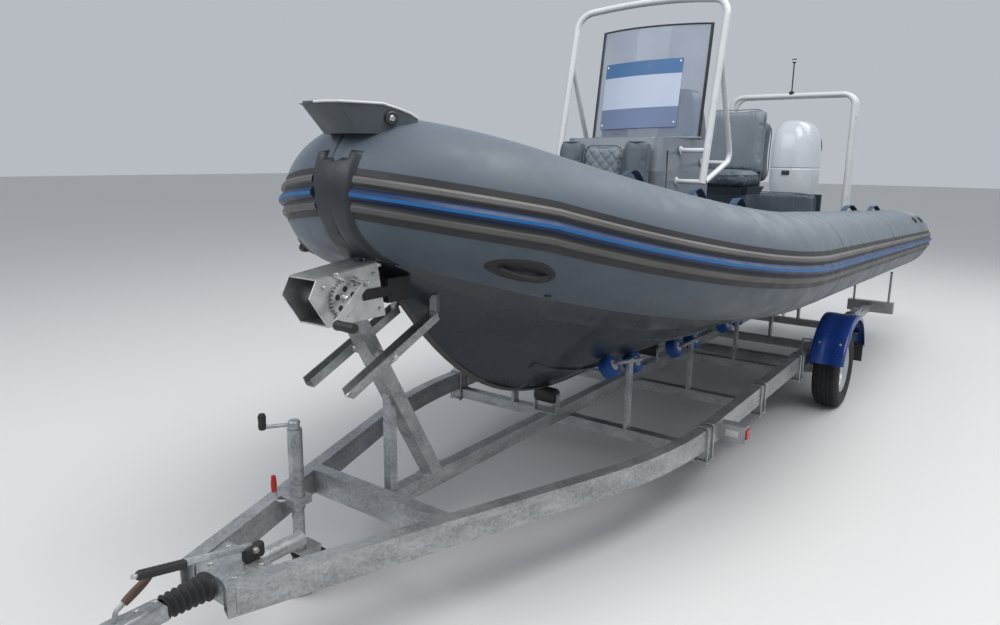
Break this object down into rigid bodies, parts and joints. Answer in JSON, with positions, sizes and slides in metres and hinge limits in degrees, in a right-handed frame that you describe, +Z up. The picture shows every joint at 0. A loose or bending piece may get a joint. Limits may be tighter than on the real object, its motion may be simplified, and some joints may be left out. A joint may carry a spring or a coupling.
{
  "type": "rigid inflatable boat on road trailer",
  "caption": "Rigid inflatable boat with console, seats, stern arch and outboard engine, standing on a roller-bed road trailer with drawbar, winch and jockey wheel.",
  "frame": {"origin": "on the floor under the middle of the whole length, on the centre line", "axes": "+X towards the bow and the coupling, +Y to port, +Z up"},
  "size_m": [8.1304, 2.54, 2.8172],
  "materials": {
    "tube_fabric": "satin coated fabric, mid grey",
    "strake_rubber": "ridged rubber, grey with a blue stripe",
    "black_rubber": "matt black rubber",
    "hull_gelcoat": "dark grey gelcoat",
    "moulded_grey": "moulded grey-green plastic",
    "galvanised": "hot-dip galvanised steel, spangled",
    "tyre_rubber": "road tyre",
    "rim_silver": "silver painted steel",
    "guard_blue": "blue moulded plastic",
    "roller_blue": "blue rubber",
    "roller_black": "black rubber",
    "console_grp": "grey gelcoat",
    "upholstery_grey": "dark grey marine vinyl, quilted",
    "smoked_glass": "smoked acrylic sheet",
    "hoop_white": "white powder coat",
    "helm_black": "black grip with steel spokes",
    "cowl_white": "white paint",
    "leg_paint": "white paint on aluminium castings",
    "clamp_dark": "dark painted aluminium",
    "propeller_steel": "stainless steel",
    "winch_steel": "zinc plated steel",
    "lamp_mix": "galvanised steel"
  },
  "bodies": {
    "trailer_and_boat": {"side_rails": "galvanised", "cross_beams": "galvanised", "keel_beam": "galvanised", "axle": "galvanised", "mudguards": "guard_blue", "mudguard_stays": "galvanised", "stern_tubes": "tube_fabric", "side_tubes": "tube_fabric", "bow_tube": "tube_fabric", "hull": "hull_gelcoat", "transom": "hull_gelcoat", "cockpit_sides": "hull_gelcoat", "bow_deck": "hull_gelcoat", "rubbing_strakes": "strake_rubber", "bow_band": "black_rubber", "bow_step": "moulded_grey", "side_rollers": "roller_blue", "roller_carriers": "galvanised", "keel_rollers": "roller_black", "winch_post": "galvanised", "winch": "winch_steel", "bow_stop": "black_rubber", "bow_arms": "galvanised", "coupling": "galvanised", "handbrake": "black_rubber", "jockey_clamp": "galvanised", "lamp_carriers": "lamp_mix", "console": "console_grp", "console_cushions": "upholstery_grey", "windscreen": "smoked_glass", "console_hoop": "hoop_white", "throttle": "helm_black", "helm_seat_pod": "hull_gelcoat", "helm_seat_cushions": "upholstery_grey", "bench_locker": "hull_gelcoat", "bench_back_pad": "upholstery_grey", "stern_arch": "hoop_white", "outboard_clamp": "clamp_dark"},
    "wheel_port": {"tyre_port": "tyre_rubber", "rim_port": "rim_silver"},
    "wheel_starboard": {"tyre_starboard": "tyre_rubber", "rim_starboard": "rim_silver"},
    "jockey_leg": {"jockey_leg": "galvanised"},
    "jockey_fork": {"jockey_fork": "galvanised"},
    "jockey_wheel": {"jockey_wheel": "black_rubber"},
    "helm_wheel": {"helm_wheel": "helm_black"},
    "bench_lid": {"bench_lid": "hull_gelcoat", "bench_cushion": "upholstery_grey"},
    "bow_hatch": {"bow_hatch": "hull_gelcoat"},
    "outboard_tilt": {"outboard_swivel": "clamp_dark"},
    "outboard_steer": {"outboard_leg": "leg_paint", "outboard_cowl": "cowl_white"},
    "propeller": {"propeller": "propeller_steel"}
  },
  "joints": [
    {"name": "wheel_spin_port", "type": "hinge", "parent": "trailer_and_boat", "child": "wheel_port", "pos_m": [-0.895, 0.998, 0.295], "axis": [0, 1, 0], "continuous": true},
    {"name": "wheel_spin_starboard", "type": "hinge", "parent": "trailer_and_boat", "child": "wheel_starboard", "pos_m": [-0.895, -0.998, 0.295], "axis": [0, 1, 0], "continuous": true},
    {"name": "jockey_crank_travel", "type": "slide", "parent": "trailer_and_boat", "child": "jockey_leg", "axis": [0, 0, 1], "range_m": [0, 0.115]},
    {"name": "jockey_swivel", "type": "hinge", "parent": "jockey_leg", "child": "jockey_fork", "pos_m": [3.15, -0.215, 0.21], "axis": [0, 0, 1], "continuous": true},
    {"name": "jockey_wheel_spin", "type": "hinge", "parent": "jockey_fork", "child": "jockey_wheel", "pos_m": [3.105, -0.215, 0.1], "axis": [0, 1, 0], "continuous": true},
    {"name": "outboard_tilt", "type": "hinge", "parent": "trailer_and_boat", "child": "outboard_tilt", "pos_m": [-2.88, 0, 1.285], "axis": [0, 1, 0], "range_deg": [0, 65]},
    {"name": "outboard_steer", "type": "hinge", "parent": "outboard_tilt", "child": "outboard_steer", "pos_m": [-2.995, 0, 1.05], "axis": [0, 0, 1], "range_deg": [-30, 30]},
    {"name": "propeller_spin", "type": "hinge", "parent": "outboard_steer", "child": "propeller", "pos_m": [-3.395, 0, 0.35], "axis": [1, 0, 0], "continuous": true},
    {"name": "helm_spin", "type": "hinge", "parent": "trailer_and_boat", "child": "helm_wheel", "pos_m": [0.11, 0.06, 2.01], "axis": [0.9063, 0, -0.4226], "range_deg": [-750, 750]},
    {"name": "bench_lid_hinge", "type": "hinge", "parent": "trailer_and_boat", "child": "bench_lid", "pos_m": [-1.545, 0, 1.2655], "axis": [0, 1, 0], "range_deg": [0, 90]},
    {"name": "bow_hatch_hinge", "type": "hinge", "parent": "trailer_and_boat", "child": "bow_hatch", "pos_m": [2.095, 0, 1.47769], "axis": [0, 1, 0], "range_deg": [0, 90]}
  ],
  "couplings": [
    {"joint": "helm_spin", "follows": "outboard_steer", "ratio": 25}
  ]
}
